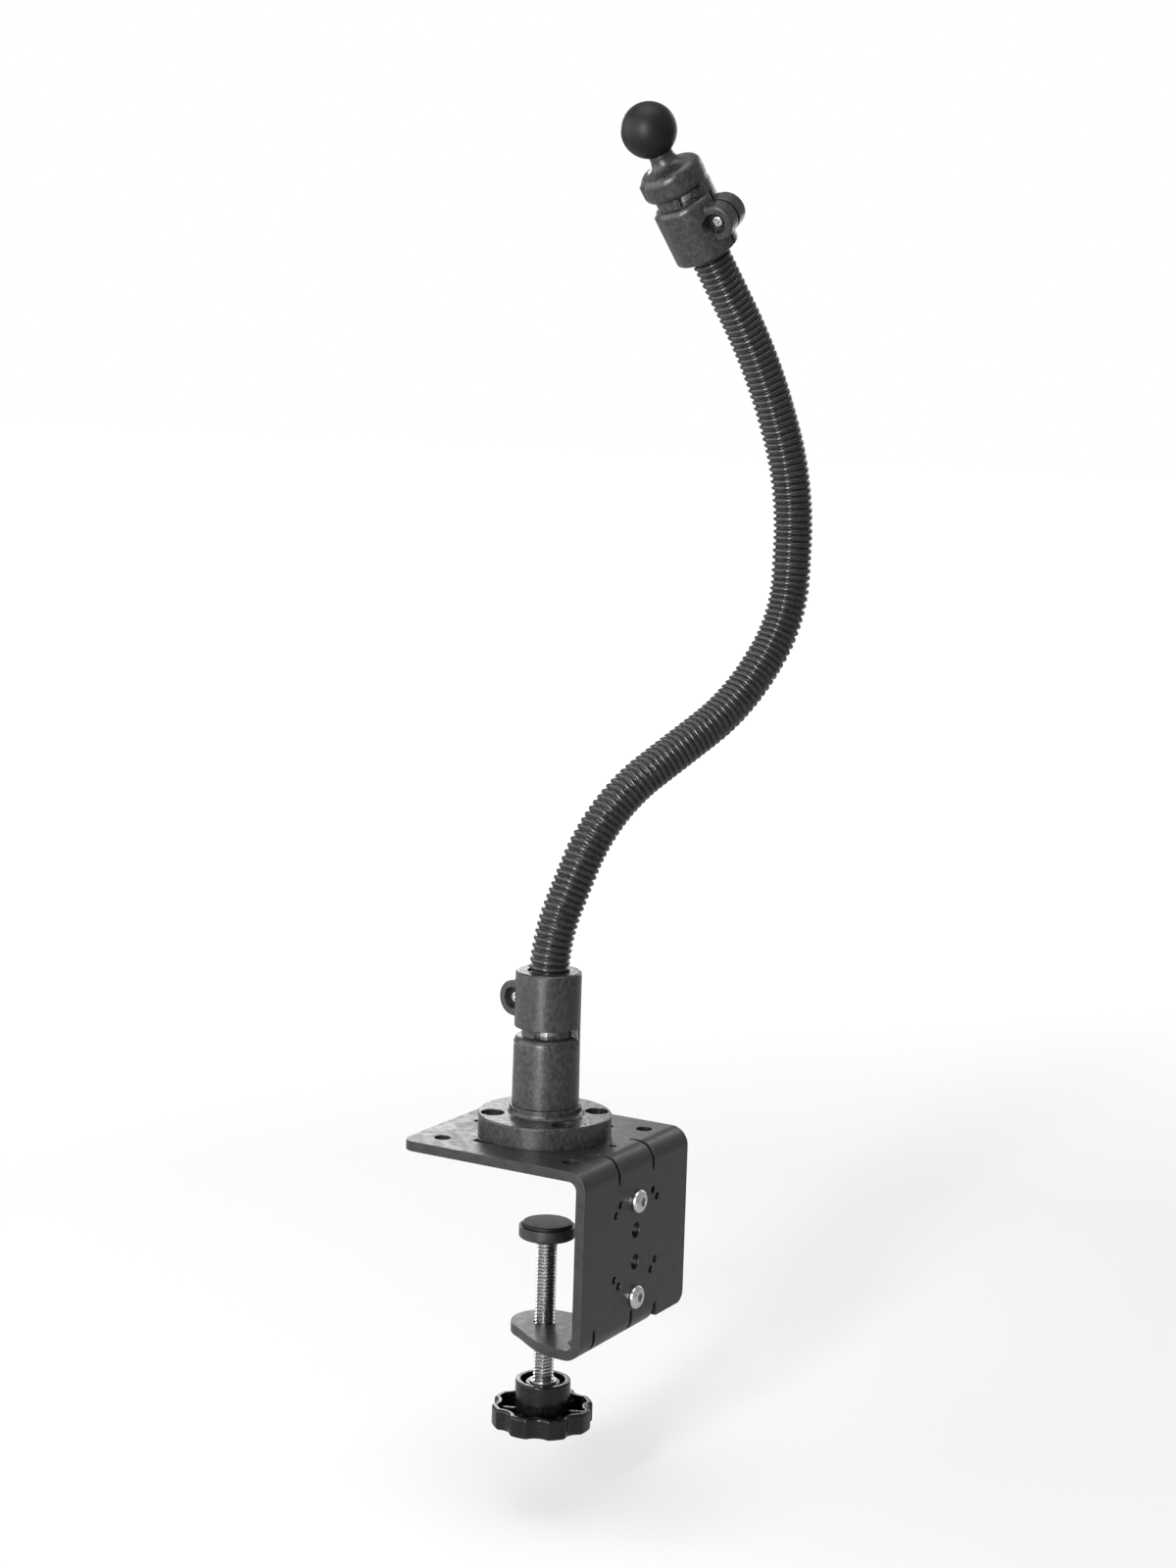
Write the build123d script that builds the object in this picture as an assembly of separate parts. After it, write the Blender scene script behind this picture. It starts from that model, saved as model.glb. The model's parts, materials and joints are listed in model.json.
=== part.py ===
from build123d import *
import os
from dataclasses import dataclass
from math import cos, radians, sin, sqrt

# Gooseneck clamp mount: a folded bracket clamps a board's edge, and the bendable arm on it carries a ball.
# Millimetres, +Z up. The origin is on the underside of the bracket's top plate, on the post's axis.
# +X points at the bracket's web, and +Y runs along the clamped edge.

# Folded clamp bracket
sheet = 4.76
bracket_width = 96.0
plate_back = 48.0
web_reach = 50.0
grip_gap = 77.5
bend_radius = 3.8
plate_corner = 7.0
web_corner = 9.0
web_edge_step = 3.0
corner_hole_pitch = 68.0
corner_hole = 7.4

# Ribs pressed into the two bends: a groove outside, a rib inside, and their places along the bend
groove_width = 2.0
groove_reach = 13.0
rib_width = 6.0
rib_thickness = 3.0
rib_round = 1.5
top_rib_places = (-16.5, 15.0)
tongue_rib_places = (-36.0, -2.0)

# Tongue under the board, folded from part of the web's lower edge
screw_x = 14.5
screw_y = -19.5
tongue_end_radius = 16.25
tongue_end_shift = 1.25
tongue_taper_turn = 28.8
tongue_far_edge = 19.0
tongue_root = 10.0
bend_relief = 2.6

# Accessory holes: two overlapping rectangles, one upright and one on its side, and two larger holes
pattern_long = 38.05
pattern_short = 30.17
pattern_hole = 3.5
pattern_drop = 41.0
middle_hole = 7.1
middle_hole_drop = 37.3
middle_hole_pitch = 15.1
plate_slot_length = 12.0
plate_slot_width = 4.4
plate_slot_x = 14.4
plate_slot_y = 28.4
plate_hole_reach = 36.4

# Button-head screws in the web
web_screw_drop = 23.6
web_screw_pitch = 45.2
web_screw_thread = 6.35
button_diameter = 11.1
button_height = 3.3
button_round = 2.4
button_key = 4.0
button_key_depth = 2.0

# Round base on the plate
base_diameter = 61.8
base_height = 10.2
base_edge = 0.8
base_counterbore = 10.9
base_counterbore_depth = 6.2
base_screw_thread = 4.8
base_screw_head = 9.2
base_screw_head_height = 2.6
boss_diameter = 33.4
boss_height = 4.0
boss_flare = 1.8
boss_edge = 0.4

# Post that stands on the base's boss, held from below by one screw
post_taper = 0.35
post_height = 32.8
spigot_diameter = 18.0
spigot_depth = 3.4
post_screw_thread = 6.0
post_screw_head = 12.4
post_screw_head_height = 3.2
post_screw_recess = 3.8
post_screw_grip = 10.0

# Split clamp sockets at both ends of the arm, each with a waist cut into its wall
socket_diameter = 30.5
socket_edge = 0.9
tube_depth = 22.0
split_width = 1.4
waist_height = 4.0
waist_diameter = 23.6
window_angle = 54.0
ear_reach = 15.2
ear_drop = 14.5
ear_radius = 8.3
ear_half_width = 8.0
ear_counterbore = 9.9
ear_counterbore_depth = 4.2
ear_edge = 0.9
ear_screw_thread = 3.5
ear_screw_head = 5.6
ear_screw_head_height = 2.2
ear_nut_flats = 8.0
ear_nut_height = 3.2
ear_nut_recess = 3.8

# The sockets' lengths, and their turned places in degrees: ears, window, the waist groove's start and span
lower_socket_length = 26.0
lower_ear = 168.0
lower_window = -62.5
lower_groove = (-190.0, 202.0)
upper_socket_length = 27.7
upper_ear = -53.0
upper_window = -10.0
upper_groove = (-45.0, 190.0)
front_direction = -60.1

# Hexagonal couplers at the ends of the arm, and how far the post and the head hold them
coupler_flats = 12.7
lower_embed = 18.0
upper_embed = 9.0
core_seat = 14.0

# Round head with a flared stem, and the rubber ball
head_diameter = 30.4
head_height = 12.6
head_lower_round = 4.0
head_upper_round = 4.3
stem_diameter = 11.2
stem_flare = 5.2
ball_diameter = 25.4
ball_height = 30.8
ball_core_diameter = 9.0
ball_core_reach = 4.0

# Gooseneck: its route's corners, in an upright plane turned about the post's axis, above the lower rim
bend_plane_angle = 62.9
route = ((0, 14), (27, 74), (101, 119), (129, 158), (130, 221), (108, 278))
route_radii = (86, 95, 106, 69, 141, 249)
upper_rim = (75.0, 327.5)
sleeve_diameter = 19.0
ridge_depth = 1.55
ridge_pitch = 3.1
sleeve_sides = 20
sleeve_bore = 12.6
core_diameter = 9.5

# Threaded rod and its knob
rod_diameter = 9.525
knob_distance = 104.8
knob_diameter = 46.8
knob_turn = 24.9
knob_lobes = 8
lobe_cut_radius = 6.4
lobe_depth = 2.4
lobe_round = 2.0
rim_height = 9.8
rim_wall = 2.5
pocket_round = 1.0
knob_floor = 3.0
knob_edge = 0.8
knob_rib_wall = 2.0
knob_rib_drop = 3.0
hub_diameter = 25.4
hub_height = 21.4
hub_recess_diameter = 20.4
hub_recess_depth = 1.2
hub_groove_depth = 3.4
hub_boss_diameter = 15.8
bush_diameter = 11.2
bush_flange_diameter = 12.6
bush_flange = 0.9
bush_length = 13.0

# Swivel pad at the top of the rod
board_gap = 30.0
pad_diameter = 26.0
pad_wall = 1.4
cup_floor = 2.0
cup_ledge = 1.8
face_seat = 1.6
face_proud = 1.6
pivot_diameter = 6.0
ring_diameter = 9.4
ring_height = 0.9
ring_groove = 0.5
pivot_end = 0.5

# Clearances
running_fit = 0.05
seat_play = 0.1
screw_clearance = 0.25
moulding_clearance = 0.1

# Heights and places that follow from the sizes above
plate_top = sheet
half_width = bracket_width / 2
tongue_top = -grip_gap
tongue_under = tongue_top - sheet
bend_outside = bend_radius + sheet
base_seat = base_height + boss_height
lower_rim = plate_top + base_seat + post_height + waist_height + lower_socket_length
socket_radius = socket_diameter / 2
waist_radius = waist_diameter / 2
waist_shoulder = socket_radius - waist_radius
sleeve_radius = sleeve_diameter / 2
ball_radius = ball_diameter / 2
rod_radius = rod_diameter / 2
cup_top = -board_gap - face_proud
cup_bottom = cup_top - face_seat - cup_ledge - cup_floor
hub_top = -knob_distance
knob_bottom = hub_top - hub_height
screw_axis = Pos(screw_x, screw_y, 0)


def disc(diameter, height, bottom=0.0):
    """Upright cylinder that stands on the given height."""
    return Pos(0, 0, bottom) * extrude(Circle(diameter / 2), height)


def hexagon(flats, height, bottom=0.0):
    """Upright hexagonal bar, given across its flats."""
    return Pos(0, 0, bottom) * extrude(RegularPolygon(flats / sqrt(3), 6), height)


def cross_recess(head_diameter_here, top):
    """Cutter for a cross recess in a screw head."""
    length, width, depth = head_diameter_here * 0.55, head_diameter_here * 0.14, head_diameter_here * 0.18
    bar = Box(length, width, depth, align=(Align.CENTER, Align.CENTER, Align.MAX))
    return Pos(0, 0, top) * (bar + Rot(0, 0, 90) * bar)


def cross_screw(thread, length, head, head_height):
    """Pan-head screw with a cross recess: the head stands on z = 0 and the shank goes down."""
    cap = disc(head, head_height)
    cap = fillet(cap.edges().group_by(Axis.Z)[-1], head_height * 0.45)
    return cap - cross_recess(head, head_height) + disc(thread, length, -length)


def nut(flats, height, thread):
    """Plain hexagonal nut that stands on z = 0."""
    return hexagon(flats, height) - disc(thread + 2 * running_fit, height)


def ring_sector(section, start, span):
    """Revolves an (r, z) section about Z from a start angle."""
    return Rot(0, 0, start) * revolve(Plane.XZ * section, Axis.Z, span)


# Folded clamp bracket

def folded_sheet():
    """The sheet's C-shaped side view, drawn through the full width."""
    end_x = screw_x - tongue_end_radius
    inner_x = web_reach - sheet
    outside = FilletPolyline((-plate_back, plate_top), (web_reach, plate_top), (web_reach, tongue_under),
                             (end_x, tongue_under), radius=bend_outside)
    inside = FilletPolyline((end_x, tongue_top), (inner_x, tongue_top), (inner_x, 0), (-plate_back, 0),
                            radius=bend_radius)
    profile = make_face([outside, Line(outside @ 1, inside @ 0), inside, Line(inside @ 1, outside @ 0)])
    return extrude(Plane.XZ * profile, half_width, both=True)


def tongue_outline():
    """Plan of the tongue: a round end about the screw that widens to its root at the web."""
    root_x = web_reach - tongue_root
    centre_y = screw_y + tongue_end_shift
    across, along = sin(radians(tongue_taper_turn)), cos(radians(tongue_taper_turn))
    near_start = (screw_x - tongue_end_radius * across, centre_y - tongue_end_radius * along)
    far_end = (screw_x, centre_y + tongue_end_radius)
    near = Spline([near_start, (root_x, -half_width)], tangents=[(along, -across), (1, 0)])
    root = Polyline((root_x, -half_width), (web_reach, -half_width), (web_reach, tongue_far_edge),
                    (root_x, tongue_far_edge))
    far = Spline([(root_x, tongue_far_edge), far_end], tangents=[(-1, 0), (-1, 0)])
    tip = ThreePointArc(far_end, (screw_x - tongue_end_radius, centre_y), near_start)
    return make_face([near, root, far, tip])


def free_web_edge():
    """The part of the web beside the tongue, with its rounded corner and the bend relief."""
    start = tongue_far_edge + bend_relief
    width = half_width - start
    height = bend_outside - web_edge_step
    sheet_face = Rectangle(width, height, align=(Align.MIN, Align.MIN))
    corner = sheet_face.vertices().sort_by(Axis.Y)[:2].sort_by(Axis.X)[-1]
    sheet_face = fillet(corner, min(web_corner, height * 0.98))
    place = Plane(origin=(web_reach - sheet, start, tongue_under + web_edge_step), x_dir=(0, 1, 0), z_dir=(1, 0, 0))
    return extrude(place * sheet_face, sheet)


def bend_groove(place, corner_height, turn):
    """Slim round-bottomed groove across the outside of a bend."""
    length, depth = 2 * groove_reach, groove_reach / sqrt(2) - groove_width / 2
    round_part = Rot(0, 90, 0) * Cylinder(groove_width / 2, length)
    straight = Box(length, groove_width, groove_reach, align=(Align.CENTER, Align.CENTER, Align.MIN))
    return Pos(web_reach, place, corner_height) * Rot(0, turn, 0) * Pos(0, 0, -depth) * (round_part + straight)


def bend_rib(place, corner_height, rise):
    """Rib behind a groove: a wedge between the two inner faces, which rises (1) or drops (-1) from its corner."""
    leg = groove_reach + sqrt(2) * rib_thickness - 2 * sheet
    inner_x = web_reach - sheet
    section = make_face(Polyline((inner_x, corner_height), (inner_x - leg, corner_height),
                                 (inner_x, corner_height + rise * leg), (inner_x, corner_height)))
    rib = extrude(Plane.XZ * section, rib_width / 2, both=True)
    slope = rib.faces().filter_by(lambda face: abs(abs(face.normal_at().X) - sqrt(0.5)) < 0.01)[0]
    rib = fillet(slope.edges().filter_by(lambda edge: abs(edge.length - leg * sqrt(2)) < 0.01), rib_round)
    return Pos(0, place, 0) * rib


def pattern_corners():
    """Corners of the two overlapping rectangles of an accessory pattern."""
    upright = [(a * pattern_short / 2, b * pattern_long / 2) for a in (-1, 1) for b in (-1, 1)]
    return upright + [(b, a) for a, b in upright]


def base_screw_places():
    """The four screws of the round base lie on the corners of one accessory rectangle."""
    return [(a * pattern_long / 2, b * pattern_short / 2) for a, b in ((-1, -1), (1, -1), (1, 1), (-1, 1))]


def plate_cuts():
    """Holes and slots through the top plate."""
    through = 3 * sheet
    pitch = corner_hole_pitch
    cuts = [loc * Cylinder(corner_hole / 2, through) for loc in GridLocations(pitch, pitch, 2, 2)]
    thread = base_screw_thread + 2 * running_fit
    cuts += [Pos(x, y, 0) * Cylinder(thread / 2, through) for x, y in base_screw_places()]
    cuts += [Pos(side * plate_hole_reach, 0, 0) * Cylinder(pattern_hole / 2, through) for side in (-1, 1)]
    slot = extrude(SlotOverall(plate_slot_length, plate_slot_width), through, both=True)
    cuts += [Pos(side * plate_slot_x, side * plate_slot_y, 0) * slot for side in (-1, 1)]
    return cuts


def web_drill(diameter, across, drop):
    """Cutter for a hole through the web, at a drop under the plate's top."""
    return Pos(web_reach, across, plate_top - drop) * Rot(0, 90, 0) * Cylinder(diameter / 2, 3 * sheet)


def web_cuts():
    """Accessory holes, screw holes and the two larger holes through the web."""
    thread = web_screw_thread + 2 * running_fit
    cuts = [web_drill(pattern_hole, y, pattern_drop + z) for y, z in pattern_corners()]
    cuts += [web_drill(thread, 0, drop) for drop in web_screw_drops()]
    cuts += [web_drill(middle_hole, 0, middle_hole_drop + row * middle_hole_pitch) for row in range(2)]
    return cuts


def web_screw_drops():
    """Drops of the two web screws under the plate's top."""
    return (web_screw_drop, web_screw_drop + web_screw_pitch)


def clamp_bracket():
    """One folded sheet: top plate, web and tongue, with its holes, bends and rounded corners."""
    full = folded_sheet()
    bend_start = tongue_under + bend_outside
    lower_zone = Pos(0, 0, bend_start) * Box(4 * web_reach, 2 * bracket_width, 2 * bend_outside,
                                             align=(Align.CENTER, Align.CENTER, Align.MAX))
    tongue = full & lower_zone & extrude(tongue_outline(), 2 * grip_gap, both=True)
    body = full - lower_zone + tongue + free_web_edge()
    relief = Pos(web_reach, tongue_far_edge + bend_relief / 2, bend_start)
    body -= relief * (Rot(0, 90, 0) * Cylinder(bend_relief / 2, 4 * sheet))
    plate_ends = body.edges().filter_by(Axis.Z).group_by(Axis.X)[0]
    body = fillet(plate_ends, plate_corner)
    for cut in plate_cuts() + web_cuts():
        body -= cut
    for place in top_rib_places:
        body = body + bend_rib(place, 0, -1) - bend_groove(place, plate_top, 45)
    for place in tongue_rib_places:
        body = body + bend_rib(place, tongue_top, 1) - bend_groove(place, tongue_under, 135)
    return body - screw_axis * Pos(0, 0, tongue_top) * Cylinder(rod_radius + running_fit, 4 * sheet)


def web_screw(drop):
    """Button-head screw with a hexagonal key socket, threaded into the web and flush inside."""
    head = disc(button_diameter, button_height)
    head = fillet(head.edges().group_by(Axis.Z)[-1], button_round)
    head -= hexagon(button_key, button_key_depth, button_height - button_key_depth)
    screw = head + disc(web_screw_thread, sheet, -sheet)
    return Pos(web_reach, 0, plate_top - drop) * Rot(0, 90, 0) * screw


# Round base

def base_blank():
    """The disc and the flared boss that the post stands on."""
    edge, flare, boss = base_diameter / 2, boss_diameter / 2 + boss_flare, boss_diameter / 2
    outline = make_face(Polyline((0, 0), (edge, 0), (edge, base_height), (boss, base_height), (boss, base_seat),
                                 (0, base_seat), (0, 0)))
    for radius, height, size in ((edge, base_height, base_edge), (boss, base_height, boss_flare),
                                 (boss, base_seat, boss_edge)):
        corner = outline.vertices().sort_by_distance((radius, height))[0]
        outline = fillet(corner, size)
    assert flare < base_screw_reach() - base_counterbore / 2, "the boss runs into the counterbores"
    return revolve(Plane.XZ * outline, Axis.Z)


def base_screw_reach():
    """Distance of the round base's screws from the post's axis."""
    return sqrt(pattern_long ** 2 + pattern_short ** 2) / 2


def round_base():
    """Moulded disc with a boss, four counterbored holes, and the recesses for the post and its screw."""
    body = base_blank()
    body -= disc(spigot_diameter + 2 * moulding_clearance, spigot_depth + seat_play,
                 base_seat - spigot_depth - seat_play)
    body -= disc(post_screw_head + 2 * screw_clearance, post_screw_recess)
    body -= disc(post_screw_thread + 2 * screw_clearance, base_seat)
    for x, y in base_screw_places():
        body -= Pos(x, y, 0) * disc(base_screw_thread + 2 * screw_clearance, base_height)
        body -= Pos(x, y, base_height - base_counterbore_depth) * disc(base_counterbore, base_height)
    return Pos(0, 0, plate_top) * body


def base_screw(x, y):
    """Pan-head screw from the counterbore's floor into the plate, flush with its underside."""
    floor = plate_top + base_height - base_counterbore_depth
    return Pos(x, y, floor) * cross_screw(base_screw_thread, floor, base_screw_head, base_screw_head_height)


def post_screw():
    """Screw from the round base's underside up into the post."""
    head = disc(post_screw_head, post_screw_head_height, post_screw_recess - post_screw_head_height)
    reach = base_seat - spigot_depth + post_screw_grip - post_screw_recess
    return Pos(0, 0, plate_top) * (head + disc(post_screw_thread, reach, post_screw_recess))


# Split clamp sockets: each is built with its rim at z = 0 and its body going down

@dataclass(frozen=True)
class SocketEnd:
    """One end of the arm: its barrel's length, turned places in degrees, and its hold on the coupler."""

    length: float
    ear: float
    window: float
    groove: tuple
    embed: float
    round_on_barrel: bool

    @property
    def waist_bottom(self):
        """Height of the waist's lower end, under the rim."""
        return -self.length - waist_height


def waist_cut(end):
    """Part-round groove of the waist, and the rounded shoulder on the barrel's side of it or beyond it."""
    near, far = -end.length, end.waist_bottom
    if end.round_on_barrel:
        near, far = far, near
    outer = socket_radius + waist_shoulder
    beyond = far + waist_shoulder if far > near else far - waist_shoulder
    round_mid = waist_shoulder * (1 - 1 / sqrt(2))
    arc_middle = (socket_radius - round_mid, far + (beyond - far) * round_mid / waist_shoulder)
    lines = [
        Polyline((waist_radius, far), (waist_radius, near), (outer, near), (outer, beyond), (socket_radius, beyond)),
        ThreePointArc((socket_radius, beyond), arc_middle, (waist_radius, far)),
    ]
    start, span = end.groove
    return ring_sector(make_face(lines), start, span)


def window_cut(end):
    """Opening through the waist's wall that shows the coupler."""
    section = Pos(socket_radius / 2, -end.length - waist_height / 2) * Rectangle(socket_radius, waist_height)
    return ring_sector(section, end.window - window_angle / 2, window_angle)


def ear_frame(angle):
    """Plane of the split at the ears: x outwards, y up, and its normal along the clamping screw."""
    out = Vector(cos(radians(angle)), sin(radians(angle)), 0)
    across = Vector(-sin(radians(angle)), cos(radians(angle)), 0)
    return Plane(origin=out * ear_reach + Vector(0, 0, -ear_drop), x_dir=out, z_dir=across)


def ears():
    """Both ears as one block, in the ear frame: a round boss with straight flanks to the barrel."""
    width = 2 * ear_half_width
    boss = Cylinder(ear_radius, width)
    boss = fillet(boss.edges().filter_by(GeomType.CIRCLE), ear_edge)
    return boss + Pos(-ear_reach / 4, 0, 0) * Box(ear_reach / 2, 2 * ear_radius, width - 2 * ear_edge)


def ear_cuts():
    """Screw hole, counterbore and nut pocket, in the ear frame."""
    hole = Cylinder(ear_screw_thread / 2 + screw_clearance, 3 * ear_half_width)
    counterbore = disc(ear_counterbore, ear_half_width, ear_half_width - ear_counterbore_depth)
    pocket = hexagon(ear_nut_flats + 2 * screw_clearance, ear_half_width, ear_nut_recess - 2 * ear_half_width)
    return [hole, counterbore, pocket]


def split_socket(body, end):
    """Adds the barrel and its ears to a post or head, then cuts the bores, split, waist and window."""
    barrel = disc(socket_diameter, end.length, -end.length)
    barrel = chamfer(barrel.edges().group_by(Axis.Z)[-1], socket_edge)
    waist = disc(socket_diameter, waist_height, end.waist_bottom)
    frame = ear_frame(end.ear)
    body = body + barrel + waist + frame.location * ears()
    body -= waist_cut(end)
    body -= disc(sleeve_diameter + 2 * moulding_clearance, tube_depth, -tube_depth)
    bar_depth = tube_depth + bar_length(end) + seat_play
    body -= hexagon(coupler_flats + 2 * moulding_clearance, bar_depth, -bar_depth)
    split = Box(2 * socket_diameter, split_width, end.length, align=(Align.MIN, Align.CENTER, Align.MAX))
    body -= Rot(0, 0, end.ear) * split
    body -= window_cut(end)
    for cut in ear_cuts():
        body -= frame.location * cut
    return body


def bar_length(end):
    """Length of a coupler: what is left of the socket, the waist, and the part held in the post or head."""
    return end.length - tube_depth + waist_height + end.embed


def socket_screw(end):
    """Clamping screw of a socket, with its head in the counterbore."""
    floor = ear_half_width - ear_counterbore_depth
    length = floor + ear_half_width - ear_nut_recess + ear_nut_height
    screw = cross_screw(ear_screw_thread, length, ear_screw_head, ear_screw_head_height)
    return ear_frame(end.ear).location * Pos(0, 0, floor) * screw


def socket_nut(end):
    """Nut of a socket's clamping screw, at the bottom of its pocket."""
    seat = ear_half_width - ear_nut_recess
    return ear_frame(end.ear).location * Pos(0, 0, -seat - ear_nut_height) * nut(
        ear_nut_flats, ear_nut_height, ear_screw_thread)


def post(end):
    """Tapered post under the lower socket, with the spigot that centres it in the round base."""
    foot = end.waist_bottom - post_height
    wide = Circle(socket_radius + post_taper).face()
    cone = Pos(0, 0, foot) * loft([wide, Pos(0, 0, post_height) * Circle(socket_radius).face()])
    spigot = disc(spigot_diameter, spigot_depth, foot - spigot_depth)
    bore = disc(post_screw_thread + 2 * running_fit, post_screw_grip, foot - spigot_depth)
    return cone + spigot - bore


def head(end):
    """Round head beyond the upper socket's waist: a thick disc that flares into the ball's stem."""
    radius, stem = head_diameter / 2, stem_diameter / 2
    outline = make_face(Polyline((0, 0), (radius, 0), (radius, head_height), (stem, head_height),
                                 (stem, ball_height), (0, ball_height), (0, 0)))
    corners = outline.vertices()
    outline = fillet(corners.filter_by(lambda v: abs(v.X - radius) < 0.01 and v.Y < 0.01), head_lower_round)
    corners = outline.vertices()
    outline = fillet(corners.filter_by(lambda v: abs(v.X - radius) < 0.01 and v.Y > head_height - 0.01),
                     head_upper_round)
    corners = outline.vertices()
    outline = fillet(corners.filter_by(lambda v: abs(v.X - stem) < 0.01 and abs(v.Y - head_height) < 0.01),
                     stem_flare)
    body = revolve(Plane.XZ * outline, Axis.Z)
    body -= Pos(0, 0, ball_height) * Sphere(ball_radius)
    body += disc(ball_core_diameter, ball_core_reach + head_height, ball_height - head_height)
    bridge = disc(socket_diameter - 2 * post_taper, head_lower_round)
    return Pos(0, 0, end.waist_bottom) * Rot(180, 0, 0) * (body + bridge_under_head(bridge, end))


def bridge_under_head(blank, end):
    """The stretch of the waist's wall that runs flush up the head's side, outside the groove."""
    start, span = end.groove
    section = Pos(socket_radius, 0) * Rectangle(2 * socket_radius - 2 * waist_radius, 4 * head_lower_round)
    keep = Rot(180, 0, 0) * ring_sector(section, start + span, 360 - span)
    return blank & keep


def mounting_ball(end):
    """Rubber ball with the blind hole for the stem's core."""
    hole = disc(ball_core_diameter + 2 * running_fit, ball_core_reach + ball_diameter, -ball_diameter)
    ball = Sphere(ball_radius) - hole
    return upper_place() * Pos(0, 0, end.waist_bottom - ball_height) * Rot(180, 0, 0) * ball


def coupler(end):
    """Hexagonal bar under the sleeve's end, bored for the arm's core."""
    length = bar_length(end)
    bar = hexagon(coupler_flats, length, -tube_depth - length)
    return bar - disc(core_diameter + 2 * running_fit, core_seat + seat_play, -tube_depth - core_seat - seat_play)


# Gooseneck

def in_bend_plane(along, height):
    """Point of the arm's upright plane, given outwards from the post's axis and above the lower rim."""
    turn = radians(bend_plane_angle)
    return Vector(along * cos(turn), along * sin(turn), lower_rim + height)


def head_direction():
    """Direction of the arm's last straight run, in which the head points."""
    return (in_bend_plane(*upper_rim) - in_bend_plane(*route[-1])).normalized()


def arm_path():
    """Centre line of the arm, from the core's seat in one coupler to its seat in the other."""
    inside = tube_depth + core_seat
    start = in_bend_plane(0, -inside)
    end = in_bend_plane(*upper_rim) + head_direction() * inside
    corners = [in_bend_plane(along, height) for along, height in route]
    return FilletPolyline(start, *corners, end, radius=route_radii)


def section_plane(path, distance):
    """Plane across the path, turned alike all along it."""
    across = Vector(-sin(radians(bend_plane_angle)), cos(radians(bend_plane_angle)), 0)
    point = path.position_at(distance, position_mode=PositionMode.LENGTH)
    return Plane(origin=point, x_dir=across, z_dir=path.tangent_at(distance, position_mode=PositionMode.LENGTH))


def gooseneck_sleeve():
    """Corrugated sleeve: many-sided ridges at an even pitch along the path, with a smooth bore."""
    path = arm_path()
    first, last = core_seat, path.length - core_seat
    ridges = round((last - first) / ridge_pitch)
    step = (last - first) / ridges / 2
    radii = (sleeve_radius - ridge_depth, sleeve_radius)
    rings = [section_plane(path, first + k * step) * RegularPolygon(radii[k % 2], sleeve_sides).wire()
             for k in range(2 * ridges + 1)]
    outside = Solid.make_loft(rings, ruled=True)
    return outside - round_bar(path, sleeve_bore)


def round_bar(path, diameter):
    """Plain round bar along the whole path."""
    return sweep(section_plane(path, 0) * Circle(diameter / 2), path=path)


def upper_place():
    """Location of the upper socket: its rim faces back down the arm, and its x axis faces the front."""
    axis = head_direction() * -1
    front = Vector(cos(radians(front_direction)), sin(radians(front_direction)), 0)
    front = (front - axis * front.dot(axis)).normalized()
    return Plane(origin=in_bend_plane(*upper_rim), x_dir=front, z_dir=axis).location


# Threaded rod, knob and pad: they turn and slide on the screw's axis

def clamp_rod():
    """Threaded rod, turned down at the top to a grooved pivot for the pad."""
    shoulder = cup_bottom - seat_play
    bottom = hub_top - hub_recess_depth - bush_length
    ring_bottom = cup_bottom + cup_floor + seat_play
    pivot_top = ring_bottom + ring_height + pivot_end
    rod = disc(rod_diameter, shoulder - bottom, bottom)
    rod += disc(pivot_diameter, pivot_top - shoulder, shoulder)
    groove = disc(2 * pivot_diameter, ring_height, ring_bottom)
    rod -= groove - disc(pivot_diameter - 2 * ring_groove, ring_height, ring_bottom)
    return screw_axis * rod


def pad_ring():
    """Retaining ring in the pivot's groove."""
    bottom = cup_bottom + cup_floor + seat_play
    ring = disc(ring_diameter, ring_height, bottom)
    return screw_axis * (ring - disc(pivot_diameter - 2 * ring_groove + running_fit, ring_height, bottom))


def pad_cup():
    """Metal cup that swivels on the rod's pivot and holds the rubber face on a ledge."""
    height = cup_top - cup_bottom
    cup = disc(pad_diameter, height, cup_bottom)
    cup = fillet(cup.edges().group_by(Axis.Z)[0], cup_floor / 2)
    cup -= disc(pad_diameter - 2 * pad_wall, face_seat, cup_top - face_seat)
    cup -= disc(pad_diameter - 4 * pad_wall, height, cup_bottom + cup_floor)
    return screw_axis * (cup - disc(pivot_diameter + 2 * running_fit, height, cup_bottom))


def pad_face():
    """Rubber disc that presses on the board."""
    face = disc(pad_diameter - 2 * pad_wall - 2 * moulding_clearance, face_seat + face_proud, cup_top - face_seat)
    face = fillet(face.edges().group_by(Axis.Z)[-1], face_proud / 2)
    return screw_axis * face


def lobed_outline(inset, corner):
    """Knob's outline, or the line inside it at an inset: a circle with scallops between its lobes."""
    outline = Circle(knob_diameter / 2 - inset)
    centre = knob_diameter / 2 + lobe_cut_radius - lobe_depth
    outline -= [loc * Circle(lobe_cut_radius + inset) for loc in PolarLocations(centre, knob_lobes)]
    return fillet(outline.vertices(), corner)


def knob_hub():
    """Hub with a recessed top: a ring-shaped groove round the boss that carries the bush."""
    hub = disc(hub_diameter, hub_height)
    hub = fillet(hub.edges().group_by(Axis.Z)[-1], knob_edge)
    boss_top = hub_height - hub_recess_depth
    hub -= disc(hub_recess_diameter, hub_recess_depth, boss_top)
    groove_bottom = boss_top - hub_groove_depth
    hub -= disc(hub_recess_diameter, hub_groove_depth, groove_bottom) - disc(hub_boss_diameter, hub_groove_depth,
                                                                             groove_bottom)
    return hub - disc(bush_diameter + 2 * moulding_clearance, bush_length, boss_top - bush_length)


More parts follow.
